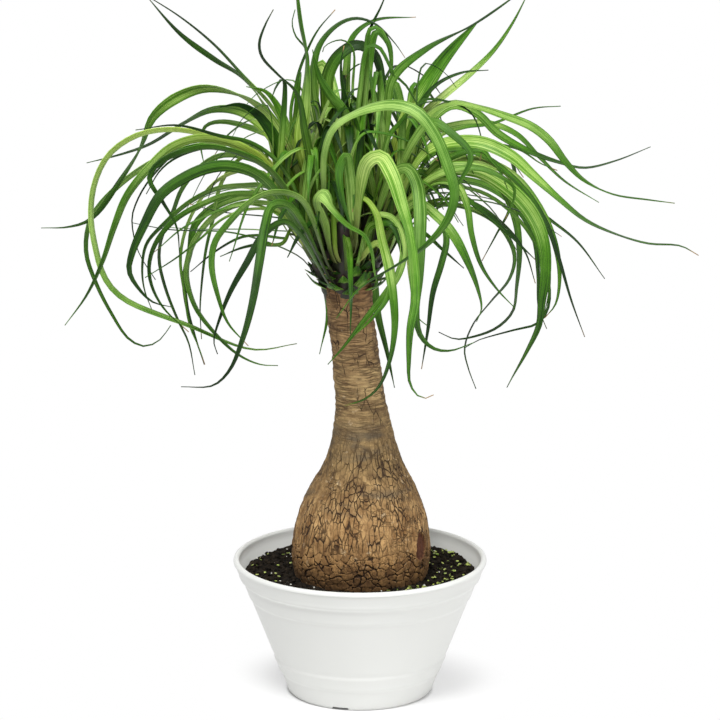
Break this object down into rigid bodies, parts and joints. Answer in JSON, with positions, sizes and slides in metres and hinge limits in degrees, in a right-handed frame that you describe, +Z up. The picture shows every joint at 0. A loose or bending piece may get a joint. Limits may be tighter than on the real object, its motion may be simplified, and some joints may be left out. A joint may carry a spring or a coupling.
{
  "type": "potted ponytail palm",
  "caption": "Ponytail palm in a round white bowl pot: a swollen corky base narrowing to a stem, topped by a fountain of long arching strap leaves.",
  "frame": {"origin": "on the floor, at the centre of the pot's foot and of the plant's footprint", "axes": "+Z up along the pot's axis, +X to the right and -Y towards the side the plant is usually seen from"},
  "size_m": [0.5456, 0.46, 0.6174],
  "materials": {
    "white_plastic": "moulded satin white plastic",
    "potting_soil": "loose dark potting mix",
    "corky_bark": "rough cracked corky bark",
    "leaf_green": "smooth leathery green leaf"
  },
  "bodies": {
    "root": {"pot": "white_plastic", "soil": "potting_soil", "trunk": "corky_bark", "leaf_01": "leaf_green", "leaf_02": "leaf_green", "leaf_03": "leaf_green", "leaf_04": "leaf_green", "leaf_05": "leaf_green", "leaf_06": "leaf_green", "leaf_07": "leaf_green", "leaf_08": "leaf_green", "leaf_09": "leaf_green", "leaf_10": "leaf_green", "leaf_11": "leaf_green", "leaf_12": "leaf_green", "leaf_13": "leaf_green", "leaf_14": "leaf_green", "leaf_15": "leaf_green", "leaf_16": "leaf_green", "leaf_17": "leaf_green", "leaf_18": "leaf_green", "leaf_19": "leaf_green", "leaf_20": "leaf_green", "leaf_21": "leaf_green", "leaf_22": "leaf_green", "leaf_23": "leaf_green", "leaf_24": "leaf_green", "leaf_25": "leaf_green", "leaf_26": "leaf_green", "leaf_27": "leaf_green", "leaf_28": "leaf_green", "leaf_29": "leaf_green", "leaf_30": "leaf_green", "leaf_31": "leaf_green", "leaf_32": "leaf_green", "leaf_33": "leaf_green", "leaf_34": "leaf_green", "leaf_35": "leaf_green", "leaf_36": "leaf_green", "leaf_37": "leaf_green", "leaf_38": "leaf_green", "leaf_39": "leaf_green", "leaf_40": "leaf_green", "leaf_41": "leaf_green", "leaf_42": "leaf_green", "leaf_43": "leaf_green", "leaf_44": "leaf_green", "leaf_45": "leaf_green", "leaf_46": "leaf_green", "leaf_47": "leaf_green", "leaf_48": "leaf_green", "leaf_49": "leaf_green", "leaf_50": "leaf_green", "leaf_51": "leaf_green", "leaf_52": "leaf_green", "leaf_53": "leaf_green", "leaf_54": "leaf_green", "leaf_55": "leaf_green"}
  },
  "joints": []
}
